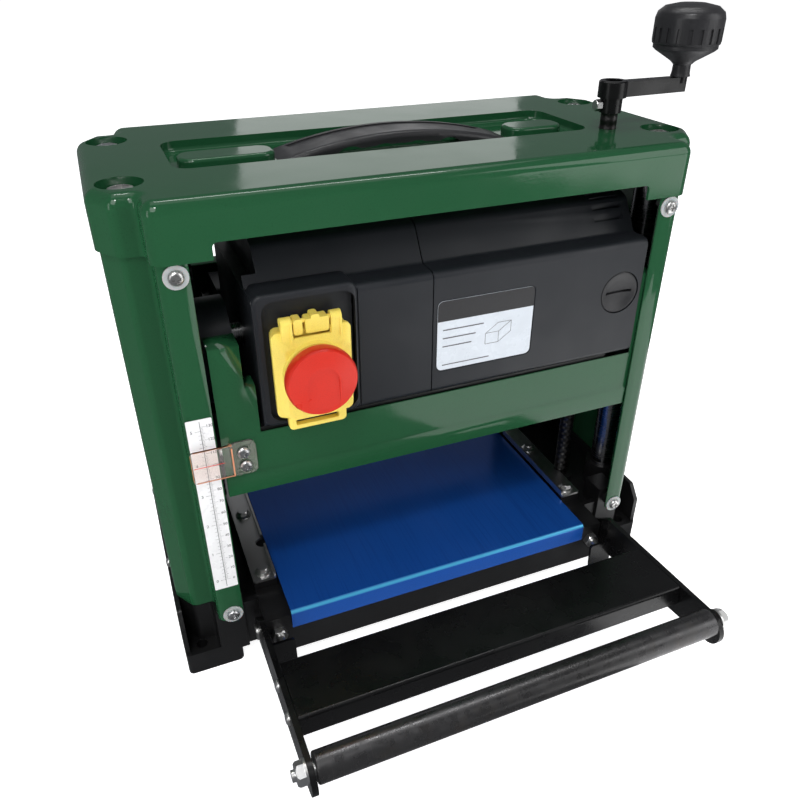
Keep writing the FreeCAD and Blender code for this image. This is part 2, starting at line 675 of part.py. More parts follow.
def housing(x0, x1, open_at):
    """A shell of the motor cover between two X positions, open at the seam."""
    outer = prism_x(housing_profile(0), [4, 2, 10, 14, 16, 8, 3, 5], x0, x1)
    inner_x0 = x0 + (0 if open_at == "low" else 3)
    inner_x1 = x1 - (0 if open_at == "high" else 3)
    inner = prism_x(housing_profile(3), [0, 0, 6, 10, 12, 6, 3, 3], inner_x0, inner_x1)
    return outer, inner


def make_motor_cover_left():
    outer, inner = housing(FASCIA_LEFT, FASCIA_SEAM - 0.4, "high")
    outer = outer.cut(box(-130, -119, -75, 30, 301, 340))
    inner = inner.cut(box(-130, -116, -80, 30, 298, 340))
    cheek = plate_y(FASCIA_LEFT, -62, FASCIA_LOW, 306, 6, FASCIA_Y - 1, -76)
    cheek = cheek.makeFillet(3, edges_where(cheek, lambda b, e: b.YMax < FASCIA_Y - 0.9))
    hollow = plate_y(FASCIA_LEFT + 3, -65, FASCIA_LOW - 5, 303, 4, FASCIA_Y + 5, -70)
    cover = join([outer, cheek]).cut(inner.fuse(hollow))
    recess = plate_y(-123, -63.8, 217.5, 301.5, 8, -110, -93.6)
    floor = plate_y(-125.5, -64.5, FASCIA_LOW, 303, 3, -93.6, -91)
    cover = join([cover.cut(recess), floor])
    groove = box(-62.4, -61.4, -99, FASCIA_Y + 1.2, 200, 310)
    cover = cover.cut(groove)
    cover = cover.cut(rod(10, vec(FASCIA_LEFT - 1, MOTOR_Y, MOTOR_Z), 6, X_AXIS))
    cover = cover.cut(rod(3.2, vec(SWITCH_X, -96, START_Z), 12, Y_AXIS))
    return cover.cut(rod(7, vec(-100, 20, 286), 10, Y_AXIS))


def make_motor_cover_right():
    outer, inner = housing(FASCIA_SEAM + 0.4, FASCIA_RIGHT, "low")
    outer = outer.cut(box(140, 160, -56, 30, 200, 340))
    inner = inner.cut(box(137, 160, -59, 30, 200, 340))
    cover = outer.cut(inner)
    cap_seat = rod(19, vec(CAP_X, FASCIA_Y + 1, CAP_Z), 8.4, Y_AXIS).cut(
        box(FASCIA_RIGHT - 3, 165, -100, -80, 240, 290))
    cover = join([cover, cap_seat])
    cover = cover.cut(rod(16.1, vec(CAP_X, FASCIA_Y - 1, CAP_Z), 5, Y_AXIS))
    cover = cover.cut(rod(9.1, vec(CAP_X, FASCIA_Y, CAP_Z), 20, Y_AXIS))
    side_vents = [box(130, 165, y, y + 3.6, 245, 330) for y in (-52, -43, -34, -25, -16, -7)]
    louvres = [box(126, 150, y, y + 2.4, 304, 335) for y in (-74.5, -70, -65.5, -61)]
    cover = cover.cut(group(side_vents)).cut(group(louvres))
    label_seat = plate_y(-7.5, 67.5, 229.5, 283, 5, FASCIA_Y - 1, FASCIA_Y + 0.5)
    return cover.cut(label_seat)


def make_brush_cap():
    cap = turned([(0, 0), (9, 0), (9, 5), (15.7, 5), (15.7, 8.2), (14.8, 8.8), (13.4, 8.6),
                  (9, 7.3), (4.5, 6.6), (0, 6.4)], vec(CAP_X, -89, CAP_Z), Y_AXIS * -1)
    return cap.cut(box(CAP_X - 11, CAP_X + 11, -98, -93.8, CAP_Z - 1, CAP_Z + 1))


def make_rating_label():
    return plate_y(-6.5, 66.5, 230.5, 282, 4, FASCIA_Y - 0.1, FASCIA_Y + 0.5)


def make_switch_plate():
    base = plate_y(-118.5, -70, 221, 282, 4, -99.4, -93.6)
    lugs = [plate_y(x0, x1, 279.5, z1, 1.5, -104.2, -96)
            for x0, x1, z1 in ((-105.2, -99.6, 289.6), (-97.6, -82.8, 289), (-94, -88.6, 291.4))]
    hinge_pin = rod(1.45, vec(-113, FLAP_PIN_Y, FLAP_PIN_Z), 38, X_AXIS)
    base = join([base, *lugs, hinge_pin])
    well = plate_y(SWITCH_X - 11, SWITCH_X + 11, START_Z - 10, START_Z + 10, 3, -101, -95.5)
    base = base.cut(well).cut(rod(3.2, vec(SWITCH_X, -100, START_Z), 8, Y_AXIS))
    return base.cut(rod(7, vec(SWITCH_X, -100, STOP_Z), 4.4, Y_AXIS))


def dish(outline, face, y_edge, y_face):
    """A plate whose front face is smaller than its edge, as ((x0, x1, z0, z1), radius) pairs."""
    wires = [rounded_wire([vec(x, y, z) for x, z in rect(*limits)], [r] * 4)
             for (limits, r), y in ((outline, y_edge), (face, y_face))]
    return Part.makeLoft(wires, True)


def make_switch_flap():
    edge = ((-119.5, -68.5, 222, 282), 4)
    shell = join([plate_y(-119.5, -68.5, 222, 282, 4, -102.6, -99.8),
                  dish(edge, ((-112.5, -70.5, 222.6, 272), 4), -102.6, -107.6)])
    hollow = join([plate_y(-117.2, -70.8, 224.3, 279.7, 2, -102.2, -99),
                   dish(((-117.2, -70.8, 224.3, 279.7), 2), ((-111.6, -72.6, 224.6, 271), 2),
                        -102.2, -105.4)])
    lip = plate_y(-113.5, -75, 213.6, 224.2, 3, -106, -101.5)
    lip = lip.cut(plate_y(-109, -80, 216.4, 220.4, 1.2, -108, -99))
    collar = rod(21, vec(SWITCH_X, -104.2, STOP_Z), 6.4, Y_AXIS * -1)
    guard = rod(8.4, vec(SWITCH_X, -106, STOP_Z), 6, Y_AXIS)
    hooks = []
    for x in (-113.2, -81.6):
        knuckle = rod(3.7, vec(x, FLAP_PIN_Y, FLAP_PIN_Z), 6.8, X_AXIS)
        web = prism_x([(-105.4, 274), (-100.4, 276), (-99.9, FLAP_PIN_Z), (-104.9, FLAP_PIN_Z)],
                      [0] * 4, x, x + 6.8)
        rib = prism_x([(-107.2, 266), (-103, 264), (-102.5, 284), (-105.1, 289)], [0] * 4,
                      x + 5.4, x + 6.8)
        hooks += [knuckle, web, rib]
    flap = join([shell.cut(hollow), lip, collar, guard, *hooks])
    notch = box(-105.8, -82.2, -107, -95, 277.5, 285)
    flap = flap.cut(notch).cut(rod(6.06, vec(SWITCH_X, -120, STOP_Z), 30, Y_AXIS))
    return flap.cut(rod(1.5, vec(-119, FLAP_PIN_Y, FLAP_PIN_Z), 52, X_AXIS))


def make_stop_button():
    profile = [(0, 0), (6, 0), (6, 15), (22.4, 15), (22.8, 17), (22.8, 21.5), (21.6, 23.6), (12, 25.2),
               (0, 25.6)]
    button = turned(profile, vec(SWITCH_X, -100, STOP_Z), Y_AXIS * -1)
    pocket = join([box(SWITCH_X - 10, SWITCH_X + 10, -128, -124.3, STOP_Z - 26, STOP_Z),
                   rod(10, vec(SWITCH_X, -128, STOP_Z), 3.7, Y_AXIS)])
    return button.cut(pocket)


def make_start_button():
    cap = plate_y(SWITCH_X - 10.7, SWITCH_X + 10.7, START_Z - 9.2, START_Z + 9.2, 2.7, -103, -98.6)
    stem = rod(3, vec(SWITCH_X, -99, START_Z), 11, Y_AXIS)
    return join([cap, stem])


def make_depth_pointer():
    tab = plate_y(-153, -135.5, 182.2, 208, 4.5, -98.6, -97.1)
    riser = box(-153, -151.5, -104.1, -97.1, 186.5, 208)
    front = plate_y(-178, -151.5, 186.5, 210.5, 2, -104.1, -102.6)
    pointer = join([tab, riser, front])
    for x, z in ((-144, 199.5), (-143.2, 188.7)):
        pointer = pointer.cut(rod(1.7, vec(x, -106, z), 10, Y_AXIS))
    return pointer


def make_pointer_screws():
    return group([pan_screw(4, 2.4, 1.5, 4, vec(x, -98.6, z), Y_AXIS * -1)
                  for x, z in ((-144, 199.5), (-143.2, 188.7))])


def make_belt_cover():
    motor, cutter = (MOTOR_Y, MOTOR_Z), (0.0, CUTTER_Z)
    outer = hull(motor, 26, cutter, 21, ("x", -157.5), 19.8)
    cover = outer.cut(hull(motor, 24, cutter, 19, ("x", -155.5), 16.2))
    cover = cover.cut(rod(6.5, vec(-145, MOTOR_Y, MOTOR_Z), 10, X_AXIS))
    return cover.cut(rod(8.5, vec(-145, 0, CUTTER_Z), 10, X_AXIS))


def make_drive_belt():
    motor, cutter = (MOTOR_Y, MOTOR_Z), (0.0, CUTTER_Z)
    outer = hull(motor, MOTOR_PULLEY_R + 2.6, cutter, CUTTER_PULLEY_R + 2.6, ("x", -151.4), 8.8)
    return outer.cut(hull(motor, MOTOR_PULLEY_R + 0.1, cutter, CUTTER_PULLEY_R + 0.1,
                          ("x", -151.4), 8.8))


def make_cable_gland():
    at = vec(-100, 22, 286)
    return join([rod(6.8, at, 6, Y_AXIS), hexagon(19, at + vec(0, 4, 0), 5, Y_AXIS),
                 ring(8.5, 4, at + vec(0, 9, 0), 9, Y_AXIS)])


# ---------------------------------------------------------------- cutting and feeding
def make_cutter_block():
    block = rod(22.6, vec(-127.5, 0, CUTTER_Z), 255, X_AXIS)
    shaft = rod(8, vec(-138.5, 0, CUTTER_Z), 276.5, X_AXIS)
    pulley = turned([(0, 0), (CUTTER_PULLEY_R + 3, 0), (CUTTER_PULLEY_R + 3, 1.2),
                     (CUTTER_PULLEY_R, 1.2), (CUTTER_PULLEY_R, 10.8), (CUTTER_PULLEY_R + 3, 10.8),
                     (CUTTER_PULLEY_R + 3, 12), (8, 12), (8, 15), (0, 15)],
                    vec(-153, 0, CUTTER_Z), X_AXIS)
    block = join([block, shaft, pulley])
    for s in (-1, 1):
        slot = box(-128, 128, -7, 9, 12, 26)
        slot = slot.cut(box(-129, 129, -7, 2, 11, 12.5))
        if s < 0:
            slot.rotate(vec(0, 0, 0), X_AXIS, 180)
        slot.translate(vec(0, 0, CUTTER_Z))
        block = block.cut(slot)
    return block


def both_sides(shape):
    """A knife-slot piece and its twin on the far side of the cutter block."""
    twin = shape.copy()
    twin.rotate(vec(0, 0, CUTTER_Z), X_AXIS, 180)
    return [shape, twin]


def make_cutter_knives():
    knife = prism_x([(-6.8, 13), (-4.4, 13), (-4.4, 21.5), (-6.8, 23.2)], [0] * 4, -127, 127)
    wedge = prism_x([(-4.2, 12.8), (8.8, 12.8), (8.8, 19.5), (4, 21.4), (-4.2, 21.4)], [0] * 5,
                    -127, 127)
    knife.translate(vec(0, 0, CUTTER_Z))
    wedge.translate(vec(0, 0, CUTTER_Z))
    return group(both_sides(knife) + both_sides(wedge))


def make_feed_roller(y):
    return turned([(0, -136.9), (6, -136.9), (6, -128), (FEED_R, -128), (FEED_R, 128), (6, 128),
                   (6, 136.9), (0, 136.9)], vec(0, y, FEED_Z), X_AXIS)


def make_kickback_rod():
    return rod(5, vec(-136.9, ROD_Y, ROD_Z), 273.8, X_AXIS)


def make_kickback_pawls():
    pawls = []
    for i in range(15):
        x = -112 + 16 * i
        eye = rod(8, vec(x - 3.5, ROD_Y, ROD_Z), 7, X_AXIS)
        blade = prism_x([(ROD_Y - 6.5, ROD_Z - 3), (ROD_Y + 9, 157), (ROD_Y + 14, 156.2),
                         (ROD_Y + 7.5, ROD_Z - 1)], [0] * 4, x - 3.5, x + 3.5)
        pawls.append(join([eye, blade]).cut(rod(5 + RUNNING, vec(x - 4, ROD_Y, ROD_Z), 8, X_AXIS)))
    return group(pawls)


# ---------------------------------------------------------------- extension tables
def at_table(out, up):
    """(y, z) of a point on the infeed table, measured from its hinge line when level."""
    return -PIVOT_Y - out, PIVOT_Z + up


def table_arm(s):
    x0, x1 = sorted((s * TABLE_ARM_X, s * (TABLE_ARM_X + 4)))
    profile = [at_table(*p) for p in ((0, -10.5), (34, -8), (139, -0.5), (139, TABLE_TOP),
                                      (16, TABLE_TOP), (-5, 9.3))]
    arm = prism_x(profile, [0, 0, 0, 0, 5, 0], x0, x1)
    rear = rod(10.5, vec(x0, *at_table(0, 0)), 4, X_AXIS)
    nose = rod(12.5, vec(x0, *at_table(139, 12)), 4, X_AXIS)
    tab_x0, tab_x1 = sorted((s * 129, s * (TABLE_ARM_X + 1)))
    tab_y, tab_z = at_table(22, 0)
    tab = plate_y(tab_x0, tab_x1, tab_z - 16, tab_z + 6, 2, tab_y - 2.5, tab_y)
    arm = join([arm, rear, nose, tab])
    arm = arm.cut(rod(4 + RUNNING, vec(x0 - 1, *at_table(0, 0)), 6, X_AXIS))
    arm = arm.cut(rod(4.05, vec(x0 - 1, *at_table(BAR_OUT, BAR_UP)), 6, X_AXIS))
    for out in (70, 98):
        arm = arm.cut(rod(2.6, vec(x0 - 1, *at_table(out, 15)), 6, X_AXIS))
    return arm


def make_table_arms():
    return tilt_table(group([table_arm(-1), table_arm(1)]))


def make_table_plate():
    half = 147.6
    corners_yz = [(TABLE_IN, TABLE_TOP - 12), (TABLE_IN, TABLE_TOP), (TABLE_OUT, TABLE_TOP),
                  (TABLE_OUT, TABLE_TOP - 16)]
    outer = prism_x([at_table(*p) for p in corners_yz], [0, 2.5, 2.5, 0], -half, half)
    inner_yz = [(TABLE_IN + SHEET, 0), (TABLE_IN + SHEET, TABLE_TOP - SHEET),
                (TABLE_OUT - SHEET, TABLE_TOP - SHEET), (TABLE_OUT - SHEET, 0)]
    inner = prism_x([at_table(*p) for p in inner_yz], [0] * 4, -half + SHEET, half - SHEET)
    plate = outer.cut(inner)
    for s in (-1, 1):
        for out in (70, 98):
            plate = plate.cut(rod(2.6, vec(s * 143, *at_table(out, 15)), 8, X_AXIS * s))
    return tilt_table(plate)


def make_table_bar():
    bar = turned([(4 + RUNNING, -147), (BAR_R - 0.8, -147), (BAR_R, -146.2), (BAR_R, 146.2),
                  (BAR_R - 0.8, 147), (4 + RUNNING, 147)], vec(0, *at_table(BAR_OUT, BAR_UP)), X_AXIS)
    return tilt_table(bar)


def make_table_fasteners():
    pieces = []
    for s in (-1, 1):
        out = X_AXIS * s
        bar_at = vec(s * (TABLE_ARM_X + 4), *at_table(BAR_OUT, BAR_UP))
        pieces.append(join([
            rod(4, bar_at - out * 26, 31, out),
            ring(8, 3.5, bar_at + out * 0.1, 1.4, out),
            hexagon(13, bar_at + out * 1.4, 5.4, out),
            rod(3.6, bar_at + out * 5, 4.2, out),
        ]))
        for along in (70, 98):
            at = vec(s * (TABLE_ARM_X + 4), *at_table(along, 15))
            pieces.append(turned([(0, -7), (2.5, -7), (2.5, 0), (4.4, 0), (4.2, 1), (3, 2.2), (0, 2.6)],
                                 at, out))
    return tilt_table(group(pieces))


def make_table_bolts():
    """The four hinge bolts of the extension tables and their four stop screws."""
    bolts = []
    for sx in (-1, 1):
        for sy in (-1, 1):
            out = X_AXIS * sx
            hinge = vec(sx * (TABLE_ARM_X + 4.2), sy * PIVOT_Y, PIVOT_Z)
            bolts.append(join([rod(4, hinge - out * 12, 12.1, out), rod(6, hinge, 1.6, out)]))
            front = Y_AXIS * sy
            stop = vec(sx * 138, sy * 112, 40)
            bolts.append(join([rod(3.5, stop - front * 7, 18.6, front), hexagon(11, stop, 5, front)]))
    return group(bolts)


# ---------------------------------------------------------------- every piece, by name
def build():
    side_rail = make_side_rail()
    side_cover = make_side_cover()
    parts = {
        "base_casting": make_base_casting(),
        "bed_plate": make_bed_plate(),
        "side_rail_left": mirror_y(mirror_x(side_rail)),
        "side_rail_right": side_rail,
        "rail_screws": make_rail_screws(),
        "column_front_left": make_column(-1, -1),
        "column_front_right": make_column(1, -1),
        "column_rear_left": make_column(-1, 1),
        "column_rear_right": make_column(1, 1),
        "side_cover_left": mirror_x(side_cover),
        "side_cover_right": side_cover,
        "top_cover": make_top_cover(),
        "top_screws": make_top_screws(),
        "cover_screws": make_cover_screws(),
        "cover_washers": make_cover_washers(),
        "carry_handle": make_carry_handle(),
        "scale_strip": make_scale_strip(),
        "height_chain": make_height_chain(),
        "table_bolts": make_table_bolts(),
        "lead_screw_left": make_lead_screw(-SCREW_X, SCREW_Y, 358),
        "lead_screw_right": make_lead_screw(SCREW_X, -SCREW_Y, 397),
        "crank_arm": make_crank_arm(),
        "crank_set_screw": make_crank_set_screw(),
        "crank_knob": make_crank_knob(),
        "carriage_casting": make_carriage_casting(),
        "guide_bushes": make_guide_bushes(),
        "lead_nuts": make_lead_nuts(),
        "cutter_bearings": make_cutter_bearings(),
        "front_panel": make_front_panel(),
        "rear_panel": make_rear_panel(),
        "chip_hood": make_chip_hood(),
        "motor_body": make_motor_body(),
        "motor_cover_left": make_motor_cover_left(),
        "motor_cover_right": make_motor_cover_right(),
        "brush_cap": make_brush_cap(),
        "rating_label": make_rating_label(),
        "switch_plate": make_switch_plate(),
        "switch_flap": make_switch_flap(),
        "stop_button": make_stop_button(),
        "start_button": make_start_button(),
        "depth_pointer": make_depth_pointer(),
        "pointer_screws": make_pointer_screws(),
        "belt_cover": make_belt_cover(),
        "drive_belt": make_drive_belt(),
        "cable_gland": make_cable_gland(),
        "kickback_rod": make_kickback_rod(),
        "motor_rotor": make_motor_rotor(),
        "cutter_block": make_cutter_block(),
        "cutter_knives": make_cutter_knives(),
        "infeed_feed_roller": make_feed_roller(-FEED_Y),
        "outfeed_feed_roller": make_feed_roller(FEED_Y),
        "kickback_pawls": make_kickback_pawls(),
    }
    table = {
        "arms": make_table_arms(),
        "plate": make_table_plate(),
        "bar": make_table_bar(),
        "fasteners": make_table_fasteners(),
    }
    for name, shape in table.items():
        parts["infeed_" + name] = shape
        parts["outfeed_" + name] = mirror_y(shape)
    return parts


os.makedirs("parts", exist_ok=True)
for node, piece in build().items():
    piece.exportStep(f"parts/{node}.step")
    print(node, len(piece.Solids), "solids, valid:", piece.isValid(),
          f"{piece.Volume / 1000:.1f} cm3")
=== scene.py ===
"""Looks of the benchtop thickness planer: materials, printed scale and label, floor, light, camera.

Everything is in metres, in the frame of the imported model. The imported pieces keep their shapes.
They get softened edges and procedural materials, and the printed details are added on top.
"""

import json
import math

import bmesh
import bpy
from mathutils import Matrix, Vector


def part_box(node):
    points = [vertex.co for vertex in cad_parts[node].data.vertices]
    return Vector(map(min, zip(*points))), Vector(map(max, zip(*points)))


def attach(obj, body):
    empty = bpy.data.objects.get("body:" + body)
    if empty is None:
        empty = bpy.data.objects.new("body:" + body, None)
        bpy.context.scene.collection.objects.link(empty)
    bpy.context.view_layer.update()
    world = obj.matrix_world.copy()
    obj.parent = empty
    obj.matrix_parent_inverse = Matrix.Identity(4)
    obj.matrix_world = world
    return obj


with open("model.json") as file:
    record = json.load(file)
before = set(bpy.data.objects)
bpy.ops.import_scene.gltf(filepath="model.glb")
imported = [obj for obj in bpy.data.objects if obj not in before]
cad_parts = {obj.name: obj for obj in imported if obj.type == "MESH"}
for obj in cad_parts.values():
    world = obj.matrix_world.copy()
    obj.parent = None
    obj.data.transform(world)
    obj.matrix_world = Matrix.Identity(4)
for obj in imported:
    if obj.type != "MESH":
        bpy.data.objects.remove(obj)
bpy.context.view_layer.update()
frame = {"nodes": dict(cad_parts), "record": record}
NODES = frame["nodes"]
COLOUR = {m["slot"]: tuple(m["base_color"][:3]) for m in frame["record"]["materials"]}
SLOT_OF = {s["node"]: s["material_slot"] for s in frame["record"]["subparts"]}

MM = 0.001
INCH = 0.0254


# ------------------------------------------------------------------ materials

def shade(colour, factor):
    return tuple(min(1.0, channel * factor) for channel in colour)


class Finish:
    """A Principled material whose colour, roughness and relief are built up in layers."""

    def __init__(self, name, colour, roughness, **sockets):
        self.material = bpy.data.materials.new(name)
        self.material.use_nodes = True
        self.tree = self.material.node_tree
        self.shader = self.tree.nodes["Principled BSDF"]
        self.shader.inputs["Base Color"].default_value = (*colour, 1)
        self.shader.inputs["Roughness"].default_value = roughness
        for socket, value in sockets.items():
            self.shader.inputs[socket.replace("_", " ")].default_value = value
        self.colour = colour
        self.colour_source = None
        self.relief = None
        self.place = self.node("ShaderNodeTexCoord").outputs["Object"]

    def node(self, kind, **inputs):
        node = self.tree.nodes.new(kind)
        for socket, value in inputs.items():
            node.inputs[socket.replace("_", " ")].default_value = value
        return node

    def link(self, source, target):
        self.tree.links.new(source, target)

    def noise(self, per_metre, detail=3.0, stretch=(1, 1, 1), roughness=0.5):
        """Noise with so many features to a metre, closer together along a stretched axis."""
        mapping = self.node("ShaderNodeMapping", Scale=[per_metre * s for s in stretch])
        noise = self.node("ShaderNodeTexNoise", Scale=1.0, Detail=detail, Roughness=roughness)
        self.link(self.place, mapping.inputs["Vector"])
        self.link(mapping.outputs["Vector"], noise.inputs["Vector"])
        return noise.outputs[0]

    def cells(self, per_metre, stretch=(1, 1, 1)):
        mapping = self.node("ShaderNodeMapping", Scale=[per_metre * s for s in stretch])
        cells = self.node("ShaderNodeTexVoronoi", Scale=1.0)
        self.link(self.place, mapping.inputs["Vector"])
        self.link(mapping.outputs["Vector"], cells.inputs["Vector"])
        return cells.outputs["Distance"]

    def spread(self, factor, low, high, start=0.35, end=0.65):
        """The factor's values from start to end, spread over low to high."""
        spread = self.node("ShaderNodeMapRange")
        for socket, value in zip(("From Min", "From Max", "To Min", "To Max"), (start, end, low, high)):
            spread.inputs[socket].default_value = value
        self.link(factor, spread.inputs["Value"])
        return spread.outputs["Result"]

    def tint(self, factor, colour, start=0.35, end=0.65, amount=1.0):
        """Turns the colour towards another where the factor is high."""
        mix = self.tree.nodes.new("ShaderNodeMix")
        mix.data_type = "RGBA"
        mix.inputs[6].default_value = (*self.colour, 1)
        mix.inputs[7].default_value = (*colour, 1)
        if self.colour_source:
            self.link(self.colour_source, mix.inputs[6])
        self.link(self.spread(factor, 0, amount, start, end), mix.inputs[0])
        self.colour_source = mix.outputs[2]
        self.link(self.colour_source, self.shader.inputs["Base Color"])
        return self

    def vary_gloss(self, factor, low, high, start=0.35, end=0.65):
        self.link(self.spread(factor, low, high, start, end), self.shader.inputs["Roughness"])
        return self

    def raise_by(self, height, distance, strength=1.0):
        """Relief of so many metres from the height's lowest to its highest value."""
        bump = self.node("ShaderNodeBump", Strength=strength, Distance=distance)
        self.link(height, bump.inputs["Height"])
        if self.relief:
            self.link(self.relief, bump.inputs["Normal"])
        self.relief = bump.outputs["Normal"]
        self.link(self.relief, self.shader.inputs["Normal"])
        return self


def green_enamel():
    """Sprayed gloss enamel on pressed sheet: faint orange peel and soft waves of the sheet."""
    green = (0.014, 0.078, 0.031)
    finish = Finish("green_enamel", green, 0.1, Specular_IOR_Level=0.45)
    finish.tint(finish.noise(7, 4), shade(green, 1.1), 0.3, 0.7)
    finish.tint(finish.noise(900, 2), shade(green, 0.9), 0.55, 0.75)
    finish.vary_gloss(finish.noise(28, 6), 0.06, 0.14)
    finish.raise_by(finish.noise(420, 2), 0.000014)
    return finish.raise_by(finish.noise(22, 1), 0.0003).material


def black_powder_coat():
    black = (0.0035, 0.0035, 0.0038)
    finish = Finish("black_powder_coat", black, 0.28, Specular_IOR_Level=0.36)
    finish.tint(finish.noise(12, 5), shade(black, 1.3), 0.4, 0.75)
    finish.vary_gloss(finish.noise(45, 6), 0.22, 0.34)
    return finish.raise_by(finish.noise(1100, 3), 0.00003).material


def black_casting():
    """A painted iron casting: sand grain under satin paint, with dusty patches."""
    black = (0.007, 0.007, 0.0075)
    finish = Finish("black_casting", black, 0.34, Specular_IOR_Level=0.45)
    finish.tint(finish.noise(30, 6), shade(black, 1.5), 0.5, 0.8)
    finish.vary_gloss(finish.noise(60, 5), 0.28, 0.44)
    finish.raise_by(finish.noise(650, 4), 0.00008)
    return finish.raise_by(finish.noise(60, 2), 0.0002).material


def blue_film():
    """Blue protective film laid on a ground steel sheet, with a painted pale cyan highlight where the
    sheet curves over between facing up and facing sideways.
    """
    blue = (0.011, 0.092, 0.43)
    finish = Finish("blue_film", blue, 0.2, Metallic=0.3)
    finish.tint(finish.noise(5, 3), shade(blue, 1.15), 0.35, 0.75)
    finish.tint(finish.noise(900, 2, (1, 0.02, 1)), shade(blue, 0.92), 0.5, 0.7)
    # painted highlight: where the surface slopes between facing up and facing sideways, the colour turns
    # to pale cyan
    axes = finish.node("ShaderNodeSeparateXYZ")
    finish.link(finish.node("ShaderNodeNewGeometry").outputs["Normal"], axes.inputs[0])
    bend_highlight = finish.node("ShaderNodeMath")
    bend_highlight.operation = "MULTIPLY"
    finish.link(finish.spread(axes.outputs["Z"], 0, 1, 0.05, 0.5), bend_highlight.inputs[0])
    finish.link(finish.spread(axes.outputs["Z"], 1, 0, 0.8, 0.99), bend_highlight.inputs[1])
    finish.tint(bend_highlight.outputs[0], (0.09, 0.52, 0.86), 0, 1)
    finish.vary_gloss(finish.noise(24, 6), 0.15, 0.24)
    finish.raise_by(finish.noise(14, 2), 0.0003)
    return finish.raise_by(finish.noise(1400, 1, (1, 0.03, 1)), 0.000004).material


def zinc_plate():
    finish = Finish("zinc_plate", (0.66, 0.66, 0.65), 0.24, Metallic=1.0)
    finish.tint(finish.noise(60, 4), (0.64, 0.635, 0.62), 0.4, 0.75)
    finish.tint(finish.noise(25, 3), (0.63, 0.65, 0.68), 0.5, 0.8)
    finish.vary_gloss(finish.noise(120, 4), 0.3, 0.36)
    return finish.raise_by(finish.noise(700, 2), 0.000008).material


def milled_bar():
    """Blackened bar stock: fine turning lines round it and brown mill scale."""
    finish = Finish("milled_bar", (0.088, 0.087, 0.089), 0.3, Metallic=0.85)
    finish.tint(finish.noise(70, 6), (0.10, 0.09, 0.082), 0.55, 0.85)
    finish.tint(finish.noise(14, 3), (0.062, 0.061, 0.061), 0.4, 0.7)
    finish.tint(finish.noise(2600, 2, (1, 0.02, 0.02)), (0.16, 0.15, 0.145), 0.6, 0.75, 0.6)
    finish.vary_gloss(finish.noise(120, 6), 0.22, 0.38)
    return finish.raise_by(finish.noise(2600, 2, (1, 0.02, 0.02)), 0.00003).material


def polished_column():
    finish = Finish("polished_column", (0.30, 0.30, 0.31), 0.2, Metallic=1.0)
    finish.tint(finish.noise(40, 5), (0.20, 0.20, 0.205), 0.45, 0.7)
    finish.vary_gloss(finish.noise(900, 3, (0.02, 0.02, 1)), 0.14, 0.3)
    return finish.raise_by(finish.noise(2200, 2, (0.02, 0.02, 1)), 0.00002).material


def threaded_screw():
    """A lead screw seen at a distance: its thread as fine rings."""
    finish = Finish("threaded_screw", (0.035, 0.034, 0.034), 0.34, Metallic=0.85)
    wave = finish.node("ShaderNodeTexWave", Scale=1.0)
    wave.bands_direction = "Z"
    mapping = finish.node("ShaderNodeMapping", Scale=(0, 0, 50))
    finish.link(finish.place, mapping.inputs["Vector"])
    finish.link(mapping.outputs["Vector"], wave.inputs["Vector"])
    finish.tint(finish.noise(80, 5), (0.018, 0.016, 0.015), 0.45, 0.7)
    return finish.raise_by(wave.outputs[1], 0.0006).material


def oiled_chain():
    finish = Finish("oiled_chain", COLOUR["dark_steel"], 0.3, Metallic=0.9)
    finish.tint(finish.noise(180, 4), (0.03, 0.025, 0.02), 0.4, 0.65)
    return finish.raise_by(finish.cells(260), 0.0008).material


def ground_steel():
    finish = Finish("ground_steel", COLOUR["bright_steel"], 0.25, Metallic=1.0)
    finish.tint(finish.noise(50, 5), (0.30, 0.30, 0.31), 0.45, 0.75)
    finish.vary_gloss(finish.noise(1500, 3, (1, 0.03, 0.03)), 0.16, 0.36)
    return finish.raise_by(finish.noise(2400, 2, (1, 0.03, 0.03)), 0.00002).material


def moulded(name, colour, gloss, grain=1500, depth=0.00003, speckle=1.15):
    """Moulded plastic with a fine spark-eroded grain and slight flow marks."""
    finish = Finish(name, colour, sum(gloss) / 2, Specular_IOR_Level=0.42)
    finish.tint(finish.noise(18, 5), shade(colour, speckle), 0.45, 0.8)
    finish.tint(finish.noise(grain, 2), shade(colour, 0.88), 0.5, 0.72)
    finish.vary_gloss(finish.noise(35, 6), *gloss)
    finish.raise_by(finish.noise(grain, 2), depth)
    return finish.raise_by(finish.noise(30, 1), 0.00025)


def soft_plastic(name, colour, gloss):
    """Bright moulded plastic: light goes a little way in, so its edges glow slightly."""
    finish = moulded(name, colour, gloss, 1800, 0.00002, 0.94)
    finish.shader.inputs["Subsurface Weight"].default_value = 0.12
    finish.shader.inputs["Subsurface Scale"].default_value = 0.002
    finish.shader.inputs["Subsurface Radius"].default_value = (1.0, 0.5, 0.25)
    return finish.material


def clear_acrylic():
    finish = Finish("clear_acrylic", (0.99, 0.93, 0.90), 0.05, Transmission_Weight=0.97, IOR=1.46)
    finish.vary_gloss(finish.noise(160, 6), 0.03, 0.14)
    return finish.raise_by(finish.noise(70, 2), 0.00008).material


def frosted_nylon():
    finish = Finish("frosted_nylon", (0.44, 0.46, 0.46), 0.3, Subsurface_Weight=0.1)
    finish.shader.inputs["Subsurface Scale"].default_value = 0.002
    finish.tint(finish.noise(220, 4), (0.36, 0.38, 0.38), 0.45, 0.75)
    return finish.raise_by(finish.noise(900, 2), 0.00004).material


def printed_film(name, colour):
    finish = Finish(name, colour, 0.3)
    finish.tint(finish.noise(60, 5), shade(colour, 0.93), 0.45, 0.8)
    finish.vary_gloss(finish.noise(120, 5), 0.2, 0.4)
    return finish.raise_by(finish.noise(500, 2), 0.00003).material


def sintered_bronze():
    finish = Finish("sintered_bronze", COLOUR["bronze"], 0.38, Metallic=1.0)
    finish.tint(finish.noise(120, 5), (0.33, 0.20, 0.07), 0.45, 0.7)
    return finish.raise_by(finish.cells(2200), 0.00006).material


